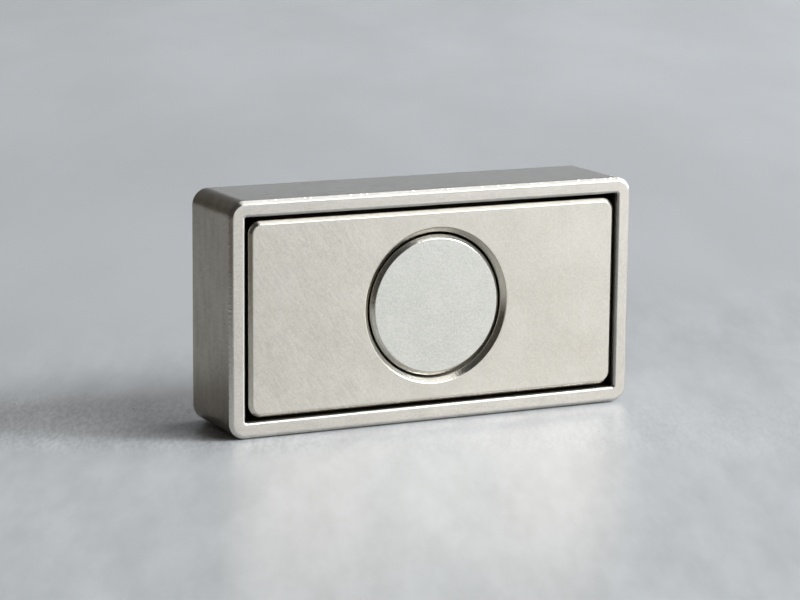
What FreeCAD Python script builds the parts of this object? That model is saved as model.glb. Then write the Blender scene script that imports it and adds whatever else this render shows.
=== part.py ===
"""Rectangular pot magnet: a steel pot, a bored block magnet bonded into it, and a round steel pole in the bore.

Millimetres, +Z up. The magnet stands on one long side, with its holding face towards -Y.
The origin is the middle of the side that it stands on.
"""
import FreeCAD
import Part
import math
import os

# Pot: a rectangular steel cup, open at the holding face
pot_width = 40.0
pot_height = 21.1
pot_depth = 9.0
pot_wall = 1.45
pot_floor = 1.8
pot_corner_radius = 1.5
rim_outer_chamfer = 0.3
rim_inner_chamfer = 0.13
back_edge_chamfer = 0.3
cavity_corner_radius = 0.15

# Bonding film between the pot's floor and what stands on it
bond_thickness = 0.15
bond_margin = 0.6

# Block magnet: fills the pot, stands a little proud of its rim, with a round bore through its middle
magnet_clearance = 0.35
magnet_proud = 0.1
magnet_corner_radius = 1.2
magnet_edge_chamfer = 0.32
bore_web = 2.1
bore_edge_chamfer = 0.44

# Centre pole: a turned steel disc that stands in the bore
pole_clearance = 0.21
pole_setback = 0.1
pole_edge_chamfer = 0.36

# Planes across the depth, from the holding face to the back
overall_depth = magnet_proud + pot_depth
magnet_face_y = -overall_depth / 2
pole_face_y = magnet_face_y + pole_setback
rim_y = magnet_face_y + magnet_proud
back_y = rim_y + pot_depth
floor_y = back_y - pot_floor
seat_y = floor_y - bond_thickness

# Outlines, all centred on one axis along Y
axis_z = pot_height / 2
cavity_width = pot_width - 2 * pot_wall
cavity_height = pot_height - 2 * pot_wall
magnet_width = cavity_width - 2 * magnet_clearance
magnet_height = cavity_height - 2 * magnet_clearance
bond_width = magnet_width - 2 * bond_margin
bond_height = magnet_height - 2 * bond_margin
bore_radius = magnet_height / 2 - bore_web
pole_radius = bore_radius - pole_clearance

PLANE_TOLERANCE = 1e-6
Y_AXIS = FreeCAD.Vector(0, 1, 0)


def slab(width, height, front_y, rear_y, corner_radius):
    """A block centred on the axis, with its four corners rounded in the outline."""
    corner = FreeCAD.Vector(-width / 2, front_y, axis_z - height / 2)
    block = Part.makeBox(width, rear_y - front_y, height, corner)
    upright = [edge for edge in block.Edges if is_along_y(edge)]
    return block.makeFillet(corner_radius, upright)


def rod(radius, front_y, rear_y):
    """A cylinder on the axis."""
    base = FreeCAD.Vector(0, front_y, axis_z)
    return Part.makeCylinder(radius, rear_y - front_y, base, Y_AXIS)


def is_along_y(edge):
    start, end = edge.Vertexes[0].Point, edge.Vertexes[-1].Point
    run = end.sub(start)
    return run.Length > PLANE_TOLERANCE and math.hypot(run.x, run.z) < PLANE_TOLERANCE


def face_at(shape, y):
    """The flat face that lies across the axis at y."""
    for face in shape.Faces:
        box = face.BoundBox
        if max(abs(box.YMin - y), abs(box.YMax - y)) < PLANE_TOLERANCE:
            return face
    raise ValueError("no flat face at y = %.3f" % y)


def bevel_outline(shape, y, size):
    """Chamfers the outer edge of the flat face at y, all the way round."""
    return shape.makeChamfer(size, face_at(shape, y).OuterWire.Edges)


def bevel_hole(shape, y, size):
    """Chamfers the edge of the hole in the flat face at y, all the way round."""
    face = face_at(shape, y)
    edges = [edge for wire in face.Wires if not wire.isSame(face.OuterWire) for edge in wire.Edges]
    return shape.makeChamfer(size, edges)


def make_pot():
    """Cup with even walls, a thicker floor, and a rim chamfered along both of its edges."""
    shell = slab(pot_width, pot_height, rim_y, back_y, pot_corner_radius)
    cavity = slab(cavity_width, cavity_height, rim_y, floor_y, cavity_corner_radius)
    pot = shell.cut(cavity)
    pot = bevel_outline(pot, rim_y, rim_outer_chamfer)
    pot = bevel_hole(pot, rim_y, rim_inner_chamfer)
    return bevel_outline(pot, back_y, back_edge_chamfer)


def make_block_magnet():
    """Block chamfered on both faces, round the outline and round the bore."""
    block = slab(magnet_width, magnet_height, magnet_face_y, seat_y, magnet_corner_radius)
    bore = rod(bore_radius, magnet_face_y, seat_y)
    magnet = block.cut(bore)
    for y in (magnet_face_y, seat_y):
        magnet = bevel_outline(magnet, y, magnet_edge_chamfer)
        magnet = bevel_hole(magnet, y, bore_edge_chamfer)
    return magnet


def make_centre_pole():
    """Disc with both edges chamfered, seated on the bond and a little behind the magnet's face."""
    pole = rod(pole_radius, pole_face_y, seat_y)
    for y in (pole_face_y, seat_y):
        pole = bevel_outline(pole, y, pole_edge_chamfer)
    return pole


def make_adhesive_bed():
    """One film on the pot's floor, which stops short of the magnet's outline."""
    return slab(bond_width, bond_height, seat_y, floor_y, magnet_corner_radius)


os.makedirs("parts", exist_ok=True)
nodes = {
    "pot": make_pot(),
    "block_magnet": make_block_magnet(),
    "centre_pole": make_centre_pole(),
    "adhesive_bed": make_adhesive_bed(),
}
for node, shape in nodes.items():
    solid = shape.Solids[0]
    solid.exportStep("parts/%s.step" % node)
    print("%-14s volume %9.3f mm3, valid %s" % (node, solid.Volume, solid.isValid()))
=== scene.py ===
# Rectangular pot magnet: satin nickel pot, block magnet and centre pole, on a plain pale floor
from math import radians

import bpy
import numpy as np
from mathutils import Matrix, Vector


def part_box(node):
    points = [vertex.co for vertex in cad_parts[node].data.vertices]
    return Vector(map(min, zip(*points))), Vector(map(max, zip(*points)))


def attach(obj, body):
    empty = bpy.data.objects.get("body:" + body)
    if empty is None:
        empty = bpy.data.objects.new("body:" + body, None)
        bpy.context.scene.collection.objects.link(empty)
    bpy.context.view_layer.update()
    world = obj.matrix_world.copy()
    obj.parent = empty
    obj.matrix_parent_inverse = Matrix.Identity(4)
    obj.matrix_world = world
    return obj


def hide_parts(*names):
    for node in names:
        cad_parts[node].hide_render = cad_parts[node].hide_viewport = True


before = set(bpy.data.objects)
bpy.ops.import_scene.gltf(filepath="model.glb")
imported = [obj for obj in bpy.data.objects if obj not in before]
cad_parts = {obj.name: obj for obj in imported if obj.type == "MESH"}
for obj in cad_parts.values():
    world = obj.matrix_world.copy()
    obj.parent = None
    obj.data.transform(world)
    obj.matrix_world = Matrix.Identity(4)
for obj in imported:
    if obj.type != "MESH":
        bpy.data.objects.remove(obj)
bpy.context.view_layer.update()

mm = 0.001
print("frame loaded:", ", ".join(sorted(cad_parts)))

potLow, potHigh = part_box("pot")
magnetLow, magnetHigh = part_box("block_magnet")
poleLow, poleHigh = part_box("centre_pole")
axisHeight = (potLow.z + potHigh.z) / 2


# Camera

camera = {
    "place": (-111.51 * mm, -225.46 * mm, 57.98 * mm),
    "yaw": radians(26.018),      # turned to the right of +Y
    "pitch": radians(10.743),    # looking down
    "roll": radians(0.508),
    "lens": 126.43,              # mm, for a sensor of this width
    "sensor": 36.0,
    "clip": (0.01, 20.0),        # m
}


def makeCamera(c):
    data = bpy.data.cameras.new("camera")
    data.sensor_width, data.lens = c["sensor"], c["lens"]
    data.clip_start, data.clip_end = c["clip"]
    obj = bpy.data.objects.new("camera", data)
    bpy.context.collection.objects.link(obj)
    turn = Matrix.Rotation(-c["yaw"], 4, "Z") @ Matrix.Rotation(radians(90) - c["pitch"], 4, "X")
    obj.matrix_world = Matrix.Translation(c["place"]) @ turn @ Matrix.Rotation(c["roll"], 4, "Z")
    bpy.context.scene.camera = obj


makeCamera(camera)


# Surfaces: a section carried along a rounded rectangle, or round a circle

loopPoints = {"long": 380, "short": 200, "corner": 20}      # on each long side, short side and corner


def roundedLoop(counts):
    # Start points and normals of a closed loop, anticlockwise seen from the front.
    # A ring of half sides a, b and corner radius r is (fx (a - r) + nx r, fz (b - r) + nz r).
    fx, fz, nx, nz = [], [], [], []
    for quarter in range(4):
        sx, sz = ((1, 1), (-1, 1), (-1, -1), (1, -1))[quarter]
        t = np.radians(90) * (quarter + np.linspace(0, 1, counts["corner"]))
        fx.append(np.full(t.shape, sx))
        fz.append(np.full(t.shape, sz))
        nx.append(np.cos(t))
        nz.append(np.sin(t))
        onLong = quarter % 2 == 0
        run = np.linspace(1, -1, counts["long" if onLong else "short"] + 2)[1:-1]
        fx.append(sx * run if onLong else np.full(run.shape, sx))
        fz.append(np.full(run.shape, sz) if onLong else sz * run)
        nx.append(np.full(run.shape, 0.0 if onLong else sx))
        nz.append(np.full(run.shape, sz if onLong else 0.0))
    return [np.concatenate(part).astype(float) for part in (fx, fz, nx, nz)]


def rectangleRings(loop, halfWidth, halfHeight, inset, radius, depth):
    # One ring for each section point: a rounded rectangle moved in by inset, at depth along Y.
    fx, fz, nx, nz = loop
    inset, radius, depth = (np.asarray(v, float)[:, None] for v in (inset, radius, depth))
    x = fx * (halfWidth - inset - radius) + nx * radius
    z = fz * (halfHeight - inset - radius) + nz * radius
    return np.stack([x, depth + 0 * x, z + axisHeight], axis=-1)


def circleRings(angles, radius, depth):
    # One circle for each section point: (r cos t, depth, r sin t).
    radius, depth = (np.asarray(v, float)[:, None] for v in (radius, depth))
    x = radius * np.cos(angles)
    return np.stack([x, depth + 0 * x, radius * np.sin(angles) + axisHeight], axis=-1)


def softSection(points, softness, hold, steps):
    # A section whose inner corners are arcs of radius softness, tangent to both runs:
    # centre + r (u sin a - m cos a), for a from 0 to the turn, with u along the run and m across it.
    # A point at hold past each arc keeps the runs flat. Softness is one radius, or one for each corner.
    points = np.asarray(points, float)
    radii = np.broadcast_to(softness, len(points) - 2)
    out = [points[:1]]
    for before, corner, after, radius in zip(points[:-2], points[1:-1], points[2:], radii):
        u = (corner - before) / np.linalg.norm(corner - before)
        w = (after - corner) / np.linalg.norm(after - corner)
        turn = np.arccos(np.clip(u @ w, -1, 1))
        m = (w - u * np.cos(turn)) / np.sin(turn)
        back = radius * np.tan(turn / 2)
        a = np.linspace(0, turn, steps)[:, None]
        arc = corner - u * back + radius * m + radius * (u * np.sin(a) - m * np.cos(a))
        out += [[corner - u * (back + hold)], arc, [corner + w * (back + hold)]]
    out.append(points[-1:])
    return np.concatenate(out)


def onSpans(sectionSize, spans, steps):
    # 1 from the arc of the first corner of each span to the arc of its last one, 0 elsewhere:
    # one value for each ring of a soft section.
    k = np.arange(sectionSize)
    each = steps + 2
    within = [(k >= 2 + first * each) & (k < 2 + last * each + steps) for first, last in spans]
    return np.any(within, axis=0).astype(float)[:, None]


def betweenArcs(sectionSize, corner, steps):
    # 1 on the straight run from the given corner to the next one, 0 elsewhere.
    k = np.arange(sectionSize)
    each = steps + 2
    return ((k >= 2 + corner * each + steps) & (k < 2 + (corner + 1) * each)).astype(float)[:, None]


def fadingEdge(sectionSize, corner, steps, faint):
    # 1 on the arc of the given corner, falling along the chamfer to faint on the next corner's arc.
    last = onSpans(sectionSize, [(corner + 1, corner + 1)], steps)
    k = np.arange(sectionSize)[:, None]
    end = 2 + (corner + 1) * (steps + 2) - 1
    return np.where((last > 0) | (k == end), faint, onSpans(sectionSize, [(corner, corner + 1)], steps))


def skin(name, rings, marks, closed=False, centres=None):
    # Joins rings of equal length with quads: round a torus if closed, else to a middle point at each end.
    # Each mark is a value from 0 to 1 at every point of the rings, which the material reads: edge is for
    # chamfers, lip for their rounded borders, two marks for painted shade and a painted highlight on those
    # that look down or up, and mouth for the wall just behind one.
    count, width = rings.shape[:2]
    j = np.arange(count if closed else count - 1)[:, None]
    i = np.arange(width)[None, :]
    nextJ, nextI = (j + 1) % count, (i + 1) % width
    quads = np.stack([j * width + i, j * width + nextI, nextJ * width + nextI, nextJ * width + i], axis=-1)
    faces = quads.reshape(-1, 4).tolist()
    points = rings.reshape(-1, 3)
    if centres is not None:
        first, last = count * width, count * width + 1
        points = np.concatenate([points, centres])
        ring = np.arange(width)
        turned = (ring + 1) % width
        faces += np.stack([np.full(width, first), turned, ring], axis=-1).tolist()
        end = (count - 1) * width
        faces += np.stack([end + ring, end + turned, np.full(width, last)], axis=-1).tolist()
    mesh = bpy.data.meshes.new(name)
    mesh.from_pydata(points.tolist(), [], faces)
    mesh.shade_smooth()
    for label, values in marks.items():
        mark = np.zeros(len(points))
        mark[:count * width] = np.broadcast_to(values, (count, width)).ravel()
        mesh.attributes.new(label, "FLOAT", "POINT").data.foreach_set("value", mark)
    obj = bpy.data.objects.new(name, mesh)
    bpy.context.collection.objects.link(obj)
    return obj


def waver(width, amount, waves, seed):
    # A ragged wobble round a loop, from -amount to amount: a sum of sines with seeded sizes and starts.
    rng = np.random.default_rng(seed)
    t = np.linspace(0, 2 * np.pi, width, endpoint=False)
    k = np.arange(*waves)[:, None]
    size = rng.normal(size=k.shape)
    wobble = (size * np.sin(k * t + rng.uniform(0, 2 * np.pi, k.shape))).sum(axis=0)
    return amount * wobble / np.abs(wobble).max()


# Pot

pot = {
    "wall": 1.45 * mm,
    "floor": 1.8 * mm,
    "cornerRadius": 1.5 * mm,
    "cavityCornerRadius": 0.15 * mm,
    "outerChamfer": 0.3 * mm,
    "innerChamfer": 0.13 * mm,
    "softness": 0.11 * mm,      # rounding of each chamfer's own edges
    "rimSoftness": 0.2 * mm,    # where the outer chamfer meets the rim
    "lipSoftness": 0.26 * mm,   # where the rim meets the inner chamfer
    "hold": 0.02 * mm,          # flat run kept beside each rounding
    "steps": 7,                 # points round each rounding
    "ragged": 0.035 * mm,       # unevenness where the side meets the outer chamfer
    "rimRagged": 0.006 * mm,    # and where that chamfer meets the rim
    "rimGrain": 0.3,            # share of the edge grain left there
    "raggedWaves": (120, 560, 4),
    "lipFall": 1.3,             # how fast the lip's dullness fades downwards
    "lipFallRight": 1.5,        # and to the right
    "middle": 0.8,              # where the flat faces close in a fan, as a share of the half height
    "middleRadius": 0.1 * mm,
}


def makePot(p):
    # Section from the middle of the back, round the rim, to the middle of the cup's floor. Its corners 0
    # and 1 are the back chamfer, 2 and 3 the rim's outer one, 4 and 5 its inner one, 6 the cup's floor.
    halfWidth = (potHigh.x - potLow.x) / 2
    halfHeight = (potHigh.z - potLow.z) / 2
    front, back, cupFloor = potLow.y, potHigh.y, potHigh.y - p["floor"]
    c, inner, wall, middle = p["outerChamfer"], p["innerChamfer"], p["wall"], halfHeight * p["middle"]
    radii = [p["softness"]] * 3 + [p["rimSoftness"], p["lipSoftness"]] + [p["softness"]] * 2
    section = softSection([
        (middle, back), (c, back), (0, back - c), (0, front + c), (c, front),
        (wall - inner, front), (wall, front + inner), (wall, cupFloor), (middle, cupFloor),
    ], radii, p["hold"], p["steps"])
    inset, depth = section.T
    corner, cavityCorner = p["cornerRadius"], p["cavityCornerRadius"]
    radius = np.interp(
        inset, [0, c, wall - inner, wall, middle],
        [corner, corner - c, cavityCorner + inner, cavityCorner, p["middleRadius"]])
    onBack = (depth > back - c - p["hold"] * 4) & (inset > c)
    radius = np.where(onBack, corner - c, radius)
    loop = roundedLoop(loopPoints)
    rings = rectangleRings(loop, halfWidth, halfHeight, inset, radius, depth)
    nx, nz = loop[2:]
    size, steps, waves = len(section), p["steps"], p["raggedWaves"]
    rings[..., 1] += onSpans(size, [(2, 2)], steps) * waver(len(nx), p["ragged"], waves, 1)
    unevenRim = onSpans(size, [(3, 3)], steps) * waver(len(nx), p["rimRagged"], waves, 2)
    rings[..., 0] += unevenRim * nx
    rings[..., 2] += unevenRim * nz
    outside, inside = onSpans(size, [(0, 1), (2, 3)], steps), onSpans(size, [(4, 5)], steps)
    lipFade = 1 + p["lipFall"] * nz - p["lipFallRight"] * np.clip(nx, 0, 1)
    marks = {
        "edge": onSpans(size, [(0, 1), (4, 5)], steps) + fadingEdge(size, 2, steps, p["rimGrain"]),
        "lip": onSpans(size, [(4, 4), (5, 5)], steps) * np.clip(lipFade, 0, 1),
        # Painted shade on inner chamfers that look down or to the left, and a painted highlight on chamfers
        # that look up
        "chamferPaintedShade": inside * np.clip(np.maximum(nz, nx), 0, 1),
        "chamferPaintedHighlight": outside * np.clip(nz, 0, 1) + inside * np.clip(-nz, 0, 1),
        "mouth": betweenArcs(size, 5, steps) * np.clip(np.maximum(nx, -nz), 0, 1),
    }
    centres = np.array([[0, back, axisHeight], [0, cupFloor, axisHeight]])
    obj = skin("pot_shell", rings, marks, centres=centres)
    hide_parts("pot")
    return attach(obj, "root")


potShell = makePot(pot)
print("pot made")


# Block magnet

magnet = {
    "cornerRadius": 1.2 * mm,
    "chamfer": 0.32 * mm,
    "boreRadius": 6.65 * mm,
    "boreChamfer": 0.44 * mm,
    "softness": 0.16 * mm,
    "hold": 0.02 * mm,
    "steps": 7,
    "land": 0.2 * mm,       # flat strip at each end of a section, before the face's long quads
    "ragged": 0.008 * mm,   # unevenness where the outer chamfer meets the face
    "faceGrain": 0.3,       # share of the edge grain left there
    "raggedWaves": (120, 560, 4),
    "lipFall": 1.3,         # round the bore, as on the pot
}


def makeMagnet(p):
    # Two sections joined in one closed skin: the outline from back to face, and the bore from face to back.
    # In both, corners 0 and 1 are one chamfer, and 2 and 3 the other.
    halfWidth = (magnetHigh.x - magnetLow.x) / 2
    halfHeight = (magnetHigh.z - magnetLow.z) / 2
    front, back = magnetLow.y, magnetHigh.y
    c, b, land, r = p["chamfer"], p["boreChamfer"], p["land"], p["boreRadius"]
    outer = softSection([
        (c + land, back), (c, back), (0, back - c), (0, front + c), (c, front), (c + land, front),
    ], p["softness"], p["hold"], p["steps"])
    bore = softSection([
        (r + b + land, front), (r + b, front), (r, front + b),
        (r, back - b), (r + b, back), (r + b + land, back),
    ], p["softness"], p["hold"], p["steps"])
    loop = roundedLoop(loopPoints)
    radius = p["cornerRadius"] - outer[:, 0]
    outerRings = rectangleRings(loop, halfWidth, halfHeight, outer[:, 0], radius, outer[:, 1])
    nx, nz = loop[2:]
    width, steps = len(nx), p["steps"]
    uneven = onSpans(len(outer), [(3, 3)], steps) * waver(width, p["ragged"], p["raggedWaves"], 3)
    outerRings[..., 0] += uneven * nx
    outerRings[..., 2] += uneven * nz
    halfway = outerRings[len(outerRings) // 2]
    angles = np.arctan2(halfway[:, 2] - axisHeight, halfway[:, 0])
    boreRings = circleRings(angles, bore[:, 0], bore[:, 1])
    up, lips = np.sin(angles), [(0, 0), (1, 1), (2, 2), (3, 3)]
    outerEdge = onSpans(len(outer), [(0, 1)], steps) + fadingEdge(len(outer), 2, steps, p["faceGrain"])
    boreEdge = onSpans(len(bore), [(0, 1), (2, 3)], steps)
    outerLip, boreLip = onSpans(len(outer), lips, steps), onSpans(len(bore), lips, steps)
    boreWall = betweenArcs(len(bore), 1, steps)
    parts = {
        "edge": (outerEdge * np.ones(width), boreEdge * np.ones(width)),
        "lip": (outerLip * np.clip(-nx, 0, 1), boreLip * np.clip(1 + p["lipFall"] * up, 0, 1)),
        # Painted shade on chamfers that look down, and a painted highlight on those that look up
        "chamferPaintedShade": (outerEdge * np.clip(-nz, 0, 1), boreEdge * np.clip(up, 0, 1)),
        "chamferPaintedHighlight": (outerEdge * np.clip(nz, 0, 1), boreEdge * np.clip(-up, 0, 1)),
        "mouth": (np.zeros((len(outer), width)), boreWall * np.clip(-up, 0, 1)),
    }
    marks = {label: np.concatenate(pair) for label, pair in parts.items()}
    obj = skin("magnet_block", np.concatenate([outerRings, boreRings]), marks, closed=True)
    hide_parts("block_magnet")
    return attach(obj, "root")


magnetBlock = makeMagnet(magnet)
print("magnet made")


# Centre pole

pole = {
    "chamfer": 0.36 * mm,
    "softness": 0.12 * mm,
    "hold": 0.02 * mm,
    "steps": 7,
    "around": 360,          # points round the disc
    "middle": 0.4 * mm,     # radius where its faces close in a fan
    "lipFall": 1.3,         # here the dullness fades upwards
}


def makePole(p):
    # Section from the middle of the back to the middle of the face, with corners numbered as on the magnet.
    radius = (poleHigh.x - poleLow.x) / 2
    front, back, c = poleLow.y, poleHigh.y, p["chamfer"]
    section = softSection([
        (p["middle"], back), (radius - c, back), (radius, back - c),
        (radius, front + c), (radius - c, front), (p["middle"], front),
    ], p["softness"], p["hold"], p["steps"])
    angles = np.linspace(0, 2 * np.pi, p["around"], endpoint=False)
    rings = circleRings(angles, section[:, 0], section[:, 1])
    edge = onSpans(len(section), [(0, 1), (2, 3)], p["steps"])
    lip = onSpans(len(section), [(0, 0), (1, 1), (2, 2), (3, 3)], p["steps"])
    up = np.sin(angles)
    marks = {
        "edge": edge,
        "lip": lip * np.clip(1 - p["lipFall"] * up, 0, 1),
        # Painted shade on chamfers that look down, and a painted highlight on those that look up
        "chamferPaintedShade": edge * np.clip(-up, 0, 1),
        "chamferPaintedHighlight": edge * np.clip(up, 0, 1),
    }
    centres = np.array([[0, back, axisHeight], [0, front, axisHeight]])
    obj = skin("pole_disc", rings, marks, centres=centres)
    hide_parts("centre_pole")
    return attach(obj, "root")


poleDisc = makePole(pole)
print("pole made")


# Materials

def newMaterial(name):
    made = bpy.data.materials.new(name)
    made.use_nodes = True
    tree = made.node_tree
    tree.nodes.clear()
    out = tree.nodes.new("ShaderNodeOutputMaterial")
    shader = tree.nodes.new("ShaderNodeBsdfPrincipled")
    tree.links.new(shader.outputs["BSDF"], out.inputs["Surface"])
    return made, tree, shader


def newGroup(name, inputs, outputs):
    # Sockets are given as a name and a kind, Float or Vector.
    group = bpy.data.node_groups.new(name, "ShaderNodeTree")
    for way, sockets in (("INPUT", inputs), ("OUTPUT", outputs)):
        for label, kind in sockets.items():
            group.interface.new_socket(label, in_out=way, socket_type="NodeSocket" + kind)
    return group, group.nodes.new("NodeGroupInput"), group.nodes.new("NodeGroupOutput")


def mathNode(tree, operation, *values):
    node = tree.nodes.new("ShaderNodeMath")
    node.operation = operation
    for socket, value in zip(node.inputs, values):
        if hasattr(value, "is_output"):
            tree.links.new(value, socket)
        else:
            socket.default_value = value
    return node.outputs[0]


def rampNode(tree, value, low, high, start, end):
    # smoothstep of value from low to high, carried to start ... end
    node = tree.nodes.new("ShaderNodeMapRange")
    node.interpolation_type = "SMOOTHSTEP"
    for label, given in (("From Min", low), ("From Max", high), ("To Min", start), ("To Max", end)):
        node.inputs[label].default_value = given
    tree.links.new(value, node.inputs["Value"])
    return node.outputs["Result"]


def noiseNode(tree, vector, scale, detail, roughness):
    node = tree.nodes.new("ShaderNodeTexNoise")
    node.inputs["Detail"].default_value, node.inputs["Roughness"].default_value = detail, roughness
    tree.links.new(vector, node.inputs["Vector"])
    tree.links.new(scale, node.inputs["Scale"])
    return node.outputs["Fac"]


patterns = {
    "cloud": {"detail": 3.0, "roughness": 0.55, "span": (0.3, 0.7)},    # span of the noise, spread out
    "grain": {"detail": 2.0, "roughness": 0.6},
    "specks": {"rim": (0.06, 0.16)},        # soft rim of a spot, as a share of its cell
}


def makeCloudGroup(p):
    # Soft patches: noise of the given size in mm, stretched to 0 ... 1
    group, start, end = newGroup("cloud", {"Vector": "Vector", "Size": "Float"}, {"Cloud": "Float"})
    scale = mathNode(group, "DIVIDE", 1.0, start.outputs["Size"])
    noise = noiseNode(group, start.outputs["Vector"], scale, p["detail"], p["roughness"])
    group.links.new(rampNode(group, noise, *p["span"], 0.0, 1.0), end.inputs["Cloud"])
    return group


def makeGrainGroup(p):
    # Fine plated texture: a normal bent by noise of the given size and depth in mm
    group, start, end = newGroup(
        "grain", {"Vector": "Vector", "Size": "Float", "Depth": "Float"}, {"Normal": "Vector"})
    scale = mathNode(group, "DIVIDE", 1.0, start.outputs["Size"])
    noise = noiseNode(group, start.outputs["Vector"], scale, p["detail"], p["roughness"])
    bump = group.nodes.new("ShaderNodeBump")
    group.links.new(mathNode(group, "MULTIPLY", start.outputs["Depth"], mm), bump.inputs["Distance"])
    group.links.new(noise, bump.inputs["Height"])
    group.links.new(bump.outputs["Normal"], end.inputs["Normal"])
    return group


def makeSpeckGroup(p):
    # Sparse small spots: a share of the cells of the given size, each with a round spot at its middle
    group, start, end = newGroup(
        "specks", {"Vector": "Vector", "Size": "Float", "Share": "Float"}, {"Specks": "Float"})
    cells = group.nodes.new("ShaderNodeTexVoronoi")
    group.links.new(start.outputs["Vector"], cells.inputs["Vector"])
    group.links.new(mathNode(group, "DIVIDE", 1.0, start.outputs["Size"]), cells.inputs["Scale"])
    pick = group.nodes.new("ShaderNodeSeparateColor")
    group.links.new(cells.outputs["Color"], pick.inputs[0])
    kept = mathNode(group, "LESS_THAN", pick.outputs["Red"], start.outputs["Share"])
    spot = rampNode(group, cells.outputs["Distance"], *p["rim"], 1.0, 0.0)
    sized = mathNode(group, "MULTIPLY", spot, pick.outputs["Green"])
    group.links.new(mathNode(group, "MULTIPLY", kept, sized), end.inputs["Specks"])
    return group


groups = {
    "cloud": makeCloudGroup(patterns["cloud"]),
    "grain": makeGrainGroup(patterns["grain"]),
    "specks": makeSpeckGroup(patterns["specks"]),
}


def useGroup(tree, name, vector, **values):
    node = tree.nodes.new("ShaderNodeGroup")
    node.node_tree = groups[name]
    tree.links.new(vector, node.inputs["Vector"])
    for label, value in values.items():
        node.inputs[label].default_value = value
    return node.outputs[0]


def unevenness(tree, vector, size):
    # A cloud moved down to -0.5 ... 0.5
    return mathNode(tree, "SUBTRACT", useGroup(tree, "cloud", vector, Size=size), 0.5)


def millimetres(tree, stretch=(1, 1, 1), turn=(0, 0, 0)):
    # Object coordinates, turned back by turn, then divided by mm and by the stretch along each axis
    coords = tree.nodes.new("ShaderNodeTexCoord")
    scaled = tree.nodes.new("ShaderNodeMapping")
    scaled.vector_type = "TEXTURE"
    scaled.inputs["Rotation"].default_value = turn
    scaled.inputs["Scale"].default_value = [mm * s for s in stretch]
    tree.links.new(coords.outputs["Object"], scaled.inputs["Vector"])
    return scaled.outputs["Vector"]


def readMark(tree, label):
    node = tree.nodes.new("ShaderNodeAttribute")
    node.attribute_name = label
    return node.outputs["Fac"]


def mixColors(tree, factor, first, second):
    node = tree.nodes.new("ShaderNodeMix")
    node.data_type = "RGBA"
    tree.links.new(factor, node.inputs[0])
    for socket, value in ((node.inputs[6], first), (node.inputs[7], second)):
        if hasattr(value, "is_output"):
            tree.links.new(value, socket)
        else:
            socket.default_value = (*value, 1)
    return node.outputs[2]


def scaleColor(tree, color, factor):
    node = tree.nodes.new("ShaderNodeVectorMath")
    node.operation = "SCALE"
    tree.links.new(color, node.inputs[0])
    tree.links.new(factor, node.inputs["Scale"])
    return node.outputs[0]


def multiplyColors(tree, first, second):
    node = tree.nodes.new("ShaderNodeVectorMath")
    node.operation = "MULTIPLY"
    tree.links.new(first, node.inputs[0])
    tree.links.new(second, node.inputs[1])
    return node.outputs[0]


def separate(tree, vector):
    # X, Y and Z of a vector
    node = tree.nodes.new("ShaderNodeSeparateXYZ")
    tree.links.new(vector, node.inputs[0])
    return node.outputs["X"], node.outputs["Y"], node.outputs["Z"]


def product(tree, first, *others):
    # The values multiplied in turn
    for other in others:
        first = mathNode(tree, "MULTIPLY", first, other)
    return first


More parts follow.
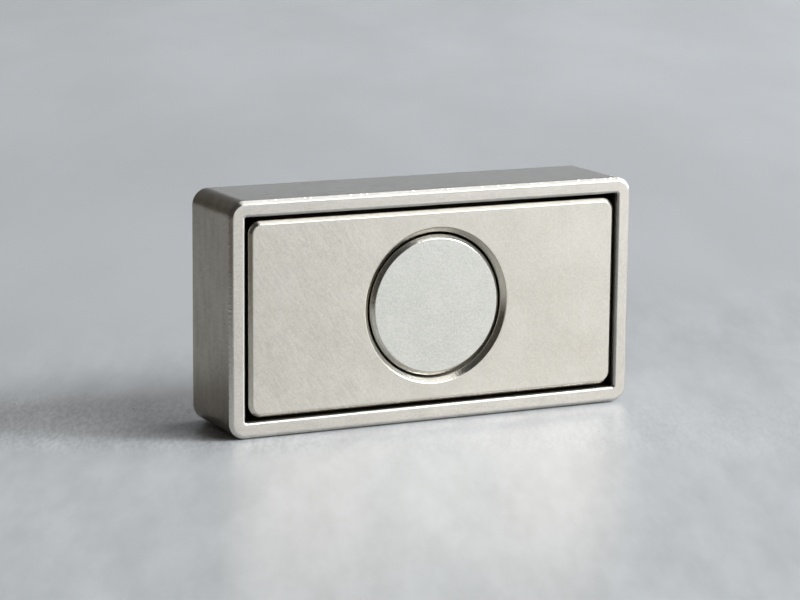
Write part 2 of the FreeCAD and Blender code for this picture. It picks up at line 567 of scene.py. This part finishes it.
# Sizes, depths and places are in mm. A length stretches the pattern, and a shade is its strength.
nickel = {
    "pot": {
        "dark": (0.65, 0.612, 0.551), "light": (0.712, 0.673, 0.613), "cloudSize": 5.0,
        "roughLow": 0.17, "roughHigh": 0.24, "lipRoughness": 0.30, "mouthRoughness": 0.48,
        "grainSize": 0.16, "grainDepth": 0.004, "edgeGrain": 0.018,     # on faces and on chamfers
        "fineSize": 0.10, "fineShade": 0.08,
        "streakSize": 0.10, "streakLength": 8.0, "streakShade": 0.035, "streakTurn": 0.0,
        "streakFade": (17.0, 18.6, 0.2),    # between these x, down to this share
        "speckColor": (0.40, 0.37, 0.33), "speckSize": 1.4, "speckShare": 0.05,
        # On chamfers: a tint, a painted highlight where they look up, and painted shade where they look
        # down or left
        "edgeTint": (0.98, 1.0, 1.03), "chamferPaintedHighlightTint": (0.97, 1.0, 1.06), "chamferPaintedShadeLevel": 0.62,
        "sideStart": (-0.05, 0.1),          # from where the rim's chamfer ends
        # Sides behind the rim: rougher, with painted shade between two darker, warmer tones, mixed by wear
        "sideRoughness": 0.27, "sideDark": (0.525, 0.50, 0.443), "sideLight": (0.705, 0.687, 0.643),
        "wearSize": 0.9, "wearLength": 4.0, "scratchSize": 0.22, "scratchLength": 4.0,
        # Painted shade in the cup, coming in between these depths behind the rim
        "insideStart": (0.3, 0.6), "insidePaintedShade": 0.3,      # from the rim
    },
    "magnet": {
        "dark": (0.655, 0.616, 0.546), "light": (0.72, 0.682, 0.614), "cloudSize": 4.5,
        "roughLow": 0.17, "roughHigh": 0.24, "lipRoughness": 0.40, "mouthRoughness": 0.6,
        "grainSize": 0.18, "grainDepth": 0.005, "edgeGrain": 0.014,
        "fineSize": 0.15, "fineShade": 0.052,
        "streakSize": 0.16, "streakLength": 6.0, "streakShade": 0.05, "streakTurn": radians(55),
        "streakFade": (-9.0, -3.0, 0.3),
        "speckColor": (0.45, 0.41, 0.36), "speckSize": 1.2, "speckShare": 0.06,
        # On chamfers: a tint, a painted highlight where they look up, and painted shade where they look
        # down
        "edgeTint": (1.02, 1.0, 0.955), "chamferPaintedHighlightTint": (0.95, 1.0, 1.10), "chamferPaintedShadeLevel": 0.48,
    },
    "pole": {
        "dark": (0.672, 0.664, 0.616), "light": (0.725, 0.717, 0.667), "cloudSize": 2.5,
        "roughLow": 0.18, "roughHigh": 0.24, "lipRoughness": 0.45,
        "grainSize": 0.22, "grainDepth": 0.006, "edgeGrain": 0.016,
        "fineSize": 0.16, "fineShade": 0.07,
        "streakSize": 0.2, "streakLength": 2.0, "streakShade": 0.03, "streakTurn": 0.0,
        "speckColor": (0.46, 0.44, 0.40), "speckSize": 1.0, "speckShare": 0.05,
        # On chamfers: a tint, a painted highlight where they look up, and painted shade where they look
        # down
        "edgeTint": (1.0, 0.975, 0.94), "chamferPaintedHighlightTint": (0.97, 1.0, 1.07), "chamferPaintedShadeLevel": 0.75,
    },
}


def cavityPaintedShade(tree, place, look):
    # Painted shade in the cup: the inside level where |x| and |z - axis| are less than the cavity's half
    # sides, else 1
    x, y, z = place
    wall = pot["wall"] / mm
    slack, reach = 0.02, 0.1        # these take in the walls and the cup's floor
    rim, cupFloor = potLow.y / mm, (potHigh.y - pot["floor"]) / mm
    across = mathNode(tree, "ABSOLUTE", x)
    up = mathNode(tree, "ABSOLUTE", mathNode(tree, "SUBTRACT", z, axisHeight / mm))
    within = mathNode(tree, "LESS_THAN", across, potHigh.x / mm - wall + slack)
    level = mathNode(tree, "LESS_THAN", up, (potHigh.z - potLow.z) / 2 / mm - wall + slack)
    start, stop = look["insideStart"]
    deep = rampNode(tree, y, rim + start, rim + stop, 0, 1)
    ahead = mathNode(tree, "LESS_THAN", y, cupFloor + reach)
    inside = product(tree, within, level, deep, ahead)
    return rampNode(tree, inside, 0, 1, 1, look["insidePaintedShade"])


def nickelTone(tree, look, coords, cloud):
    # Two close tones in soft patches, with a few darker spots, times fine flecks and streaks.
    # Chamfers that look down get painted shade, and those that look up a painted highlight, a little
    # whiter.
    specks = useGroup(tree, "specks", coords, Size=look["speckSize"], Share=look["speckShare"])
    tone = mixColors(tree, cloud, look["dark"], look["light"])
    tone = mixColors(tree, specks, tone, look["speckColor"])
    along = millimetres(tree, (look["streakLength"], 1, 1), (0, look["streakTurn"], 0))
    streak = unevenness(tree, along, look["streakSize"])
    level = 2 * look["streakShade"]
    if "streakFade" in look:
        start, stop, rest = look["streakFade"]
        level = rampNode(tree, separate(tree, coords)[0], start, stop, level, level * rest)
    fine = useGroup(tree, "cloud", coords, Size=look["fineSize"])
    flecks = rampNode(tree, fine, 0, 1, 1 - look["fineShade"], 1 + look["fineShade"])
    shade = mathNode(tree, "MULTIPLY_ADD", streak, level, flecks)
    # Painted shade on chamfers that look down
    chamferPaintedShade = rampNode(tree, readMark(tree, "chamferPaintedShade"), 0, 1, 1, look["chamferPaintedShadeLevel"])
    tone = scaleColor(tree, tone, product(tree, shade, chamferPaintedShade))
    # A tint on every chamfer, and a painted highlight, a little whiter, on those that look up
    for label in ("edge", "chamferPaintedHighlight"):
        tint = mixColors(tree, readMark(tree, label), (1, 1, 1), look[label + "Tint"])
        tone = multiplyColors(tree, tone, tint)
    return tone


def nickelRoughness(tree, look, cloud):
    # Between two values in soft patches, and no less than its own value at the lips and in the mouth
    rough = rampNode(tree, cloud, 0, 1, look["roughHigh"], look["roughLow"])
    for label in ("lip", "mouth"):
        if label + "Roughness" in look:
            least = rampNode(tree, readMark(tree, label), 0, 1, 0, look[label + "Roughness"])
            rough = mathNode(tree, "MAXIMUM", rough, least)
    return rough


def wornAndShadedSides(tree, look, place, tone, rough):
    # The sides behind the rim are duller and carry painted shade, darker and warmer overall, and are worn
    # in upright patches and short level scratches; the cup inside gets painted shade too.
    start, stop = look["sideStart"]
    rimBack = (potLow.y + pot["outerChamfer"]) / mm
    behind = rampNode(tree, place[1], rimBack + start, rimBack + stop, 0, 1)
    rough = mathNode(tree, "MAXIMUM", rough, product(tree, behind, look["sideRoughness"]))
    upright = millimetres(tree, (1, 1, look["wearLength"]))
    wear = useGroup(tree, "cloud", upright, Size=look["wearSize"])
    level = millimetres(tree, (1, look["scratchLength"], 1))
    scratch = useGroup(tree, "cloud", level, Size=look["scratchSize"])
    worn = product(tree, mathNode(tree, "ADD", wear, scratch), 0.5)
    tint = mixColors(tree, behind, (1, 1, 1), mixColors(tree, worn, look["sideDark"], look["sideLight"]))
    return multiplyColors(tree, tone, scaleColor(tree, tint, cavityPaintedShade(tree, place, look))), rough


def nickelMaterial(name, look):
    # Satin plating, with deeper grain on the chamfers
    made, tree, shader = newMaterial(name)
    coords = millimetres(tree)
    cloud = useGroup(tree, "cloud", coords, Size=look["cloudSize"])
    tone = nickelTone(tree, look, coords, cloud)
    rough = nickelRoughness(tree, look, cloud)
    if "sideRoughness" in look:
        tone, rough = wornAndShadedSides(tree, look, separate(tree, coords), tone, rough)
    tree.links.new(tone, shader.inputs["Base Color"])
    tree.links.new(rough, shader.inputs["Roughness"])
    grain = useGroup(tree, "grain", coords, Size=look["grainSize"])
    depth = rampNode(tree, readMark(tree, "edge"), 0, 1, look["grainDepth"], look["edgeGrain"])
    tree.links.new(depth, grain.node.inputs["Depth"])
    tree.links.new(grain, shader.inputs["Normal"])
    shader.inputs["Metallic"].default_value = 1
    return made


potShell.data.materials.append(nickelMaterial("pot_nickel", nickel["pot"]))
magnetBlock.data.materials.append(nickelMaterial("magnet_nickel", nickel["magnet"]))
poleDisc.data.materials.append(nickelMaterial("pole_nickel", nickel["pole"]))

epoxy = {
    "dark": (0.045, 0.045, 0.042), "light": (0.075, 0.073, 0.068), "cloudSize": 1.5,
    "roughness": 0.45, "grainSize": 0.5, "grainDepth": 0.02,
}


def epoxyMaterial(look):
    made, tree, shader = newMaterial("epoxy")
    coords = millimetres(tree)
    cloud = useGroup(tree, "cloud", coords, Size=look["cloudSize"])
    tree.links.new(mixColors(tree, cloud, look["dark"], look["light"]), shader.inputs["Base Color"])
    grain = useGroup(tree, "grain", coords, Size=look["grainSize"], Depth=look["grainDepth"])
    tree.links.new(grain, shader.inputs["Normal"])
    shader.inputs["Roughness"].default_value = look["roughness"]
    return made


bond = bpy.data.objects["adhesive_bed"]
bond.data.materials.clear()
bond.data.materials.append(epoxyMaterial(epoxy))
print("materials made")


# Floor, lamps and surroundings

# Places and sizes are in mm: x, y, or along the view, which is also the way that the pattern lies.
stage = {
    "size": 6.0,            # m
    "drop": 0.09 * mm,      # below the part, which leaves a thin dark line under its edge
    "dark": (0.475, 0.494, 0.513), "light": (0.505, 0.524, 0.543), "cloudSize": 30.0,
    "roughLow": 0.36, "roughHigh": 0.40, "specular": 0.6,
    "turn": (0, 0, radians(-25.7)), "stretch": 4.0,     # the pattern's
    "patchSize": 4.5, "patchShade": 0.06, "spotSize": 1.3, "spotShade": 0.03,
    "patchFade": (20, 60),                              # y where patches and spots end
    "fineSize": 0.34, "fineShade": 0.15,                # grain close to the part
    "pitSize": 0.9, "pitShare": 0.5, "pitShade": 0.9, "pitStretch": 1.6,
    "fineFront": (-20, -12), "fineBack": (-2, 12),      # along the view, where grain and pits begin and end
    "fineRight": (-22, -8), "fineRest": 0.35,           # x over which they thin out, and the share left
    # Painted light: a brighter strip along the part's foot
    "footFront": (-34, -12), "footBack": (-5, 2),       # y of a brighter strip along the part's foot
    "footRight": (18, 30), "footPaintedLight": 0.05,           # x where it ends
    # Painted shade behind the part, and painted light far away
    "nearFade": (-16, 40), "middlePaintedShade": 0.925,        # along the view, darker behind the part
    "farFade": (130, 340), "farPaintedLight": 1.12,            # and brighter far away
    # Painted shade: a darker, warmer floor at the front left
    "shaded": (-85, -50), "shadedBack": (15, 50),       # x and y of a darker floor at the front left,
    "leftPaintedShade": (0.35, 0.305, 0.25),                    # outside the view
}


def floorPatches(tree, s, y, long):
    # (patches + spots) * level, with a level that falls to 0 behind the part
    spots = unevenness(tree, long, s["spotSize"])
    patches = unevenness(tree, long, s["patchSize"])
    both = mathNode(tree, "MULTIPLY_ADD", spots, s["spotShade"] / s["patchShade"], patches)
    return product(tree, both, rampNode(tree, y, *s["patchFade"], 2 * s["patchShade"], 0))


def floorFlecks(tree, s, long):
    # Grain less small pits
    grain = product(tree, unevenness(tree, long, s["fineSize"]), 2 * s["fineShade"])
    pitPlace = millimetres(tree, (1, s["pitStretch"], 1), s["turn"])
    pits = useGroup(tree, "specks", pitPlace, Size=s["pitSize"], Share=s["pitShare"])
    return mathNode(tree, "MULTIPLY_ADD", pits, -s["pitShade"], grain)


def floorTone(tree, s, cloud, long):
    # Tone * (1 + flecks * close + patches) * (1 + foot) * near * far, darker and warmer at the front left.
    # The foot and far terms are painted light, and near and the front left painted shade.
    x, y = separate(tree, millimetres(tree))[:2]
    ahead = separate(tree, millimetres(tree, turn=s["turn"]))[1]
    close = product(
        tree,
        rampNode(tree, ahead, *s["fineFront"], 0, 1),
        rampNode(tree, ahead, *s["fineBack"], 1, 0),
        rampNode(tree, x, *s["fineRight"], 1, s["fineRest"]))
    # Painted light along the part's foot
    foot = product(
        tree,
        rampNode(tree, y, *s["footFront"], 0, s["footPaintedLight"]),
        rampNode(tree, y, *s["footBack"], 1, 0),
        rampNode(tree, x, *s["footRight"], 1, 0))
    flecks, patches = floorFlecks(tree, s, long), floorPatches(tree, s, y, long)
    uneven = mathNode(tree, "MULTIPLY_ADD", flecks, close, patches)
    # Painted light at the foot and far away, painted shade behind the part
    shade = product(
        tree,
        mathNode(tree, "ADD", uneven, 1.0),
        mathNode(tree, "ADD", foot, 1.0),
        rampNode(tree, ahead, *s["nearFade"], 1, s["middlePaintedShade"]),
        rampNode(tree, ahead, *s["farFade"], 1, s["farPaintedLight"]))
    # Painted shade at the front left
    lit = mathNode(
        tree, "MAXIMUM",
        rampNode(tree, x, *s["shaded"], 0, 1),
        rampNode(tree, y, *s["shadedBack"], 0, 1))
    tone = mixColors(tree, cloud, s["dark"], s["light"])
    tone = multiplyColors(tree, tone, mixColors(tree, lit, s["leftPaintedShade"], (1, 1, 1)))
    return scaleColor(tree, tone, shade)


def makeFloor(s):
    # One large square just below the part
    h, low = s["size"] / 2, -s["drop"]
    mesh = bpy.data.meshes.new("floor")
    mesh.from_pydata([(-h, -h, low), (h, -h, low), (h, h, low), (-h, h, low)], [], [(0, 1, 2, 3)])
    obj = bpy.data.objects.new("floor", mesh)
    bpy.context.collection.objects.link(obj)
    made, tree, shader = newMaterial("floor")
    long = millimetres(tree, (1, s["stretch"], 1), s["turn"])
    cloud = useGroup(tree, "cloud", long, Size=s["cloudSize"])
    tree.links.new(floorTone(tree, s, cloud, long), shader.inputs["Base Color"])
    rough = rampNode(tree, cloud, 0, 1, s["roughHigh"], s["roughLow"])
    tree.links.new(rough, shader.inputs["Roughness"])
    shader.inputs["Specular IOR Level"].default_value = s["specular"]
    mesh.materials.append(made)


makeFloor(stage)

# Centre and size (across and up) in m, facing direction, radiance, and a colour where it isn't white
lamps = {
    "window": {
        "centre": (1.00, 0.08, 0.80), "size": (0.95, 1.50), "facing": (-1, 0, 0),
        "radiance": 1.30, "color": (1.0, 0.97, 0.945),
    },
    "overhead": {
        "centre": (0.90, -0.45, 2.20), "size": (1.50, 2.40), "facing": (0, 0, -1),
        "radiance": 1.28, "color": (1.0, 0.98, 0.94),
    },
    "key": {
        "centre": (1.15, -0.70, 0.85), "size": (0.52, 0.52), "facing": (-1.15, 0.70, -0.85),
        "radiance": 28.2, "color": (0.93, 0.965, 1.0),
    },
    "second": {
        "centre": (0.75, -1.15, 0.85), "size": (0.80, 0.80), "facing": (-0.75, 1.15, -0.85),
        "radiance": 3.95, "color": (1.0, 0.975, 0.93),
    },
    "front": {"centre": (1.35, -1.80, 0.45), "size": (1.20, 0.85), "facing": (0, 1, 0), "radiance": 0.94},
    "corner": {
        "centre": (1.15, 0.24, 0.36), "size": (0.50, 0.62), "facing": (-0.93, -0.17, -0.32),
        "radiance": 2.0,
    },
}


def makeLamp(name, lamp):
    # A rectangle's power for a radiance L is L pi A.
    data = bpy.data.lights.new(name, "AREA")
    data.shape = "RECTANGLE"
    data.size, data.size_y = lamp["size"]
    data.energy = lamp["radiance"] * np.pi * data.size * data.size_y
    data.color = lamp.get("color", (1.0, 1.0, 1.0))
    obj = bpy.data.objects.new(name, data)
    bpy.context.collection.objects.link(obj)
    face = Vector(lamp["facing"])
    turn = face.to_track_quat("-Z", "Z" if abs(face.z) < 0.9 else "Y")
    obj.matrix_world = Matrix.Translation(lamp["centre"]) @ turn.to_matrix().to_4x4()


for lampName, lampValues in lamps.items():
    makeLamp(lampName, lampValues)

surroundings = {
    "low": (0.84, 0.915, 0.99),     # colour near the horizon
    "high": (0.91, 0.94, 0.97),     # colour above it
    "left": (1.0, 0.91, 0.82),      # colour on the left
    "lowToHigh": (0.05, 0.3),       # z of the direction, between the first two
    "leftToRight": (-0.5, 0.2),     # x, between the left and those
    "dark": 0.057,                  # light from everywhere
    "right": (-0.5, 0.6),           # x over which glow and band come in
    "glow": 0.385, "glowEnd": (0.2, 0.5),       # low down on the right, and the z over which it ends
    "band": 1.40, "bandEnd": (0.06, 0.16),      # more of it close to the horizon
    "back": 0.06, "backFrom": (0.3, 0.8), "backUp": (0.08, 0.5),    # behind the part and high up: y and z
}


def makeWorld(s):
    # Light from direction (x, y, z), which leaves the front left dark:
    # dark + right(x) * (glow * fall(z) + band * low(z)) + back * behind(y) * high(z)
    world = bpy.data.worlds.new("surroundings")
    bpy.context.scene.world = world
    world.use_nodes = True
    tree = world.node_tree
    tree.nodes.clear()
    link = tree.links.new
    coords = tree.nodes.new("ShaderNodeTexCoord")
    x, y, z = separate(tree, coords.outputs["Generated"])
    right = rampNode(tree, x, *s["right"], 0.0, 1.0)
    glow = rampNode(tree, z, *s["glowEnd"], s["glow"], 0.0)
    band = rampNode(tree, z, *s["bandEnd"], s["band"], 0.0)
    behind = rampNode(tree, y, *s["backFrom"], 0.0, 1.0)
    back = rampNode(tree, z, *s["backUp"], 0.0, s["back"])
    strength = mathNode(tree, "MULTIPLY_ADD", right, mathNode(tree, "ADD", glow, band), s["dark"])
    strength = mathNode(tree, "MULTIPLY_ADD", behind, back, strength)
    color = mixColors(tree, rampNode(tree, z, *s["lowToHigh"], 0, 1), s["low"], s["high"])
    color = mixColors(tree, rampNode(tree, x, *s["leftToRight"], 0, 1), s["left"], color)
    light = tree.nodes.new("ShaderNodeBackground")
    link(color, light.inputs["Color"])
    link(strength, light.inputs["Strength"])
    out = tree.nodes.new("ShaderNodeOutputWorld")
    link(light.outputs[0], out.inputs["Surface"])


makeWorld(surroundings)
bpy.context.scene.view_settings.view_transform = "Standard"
print("stage made")
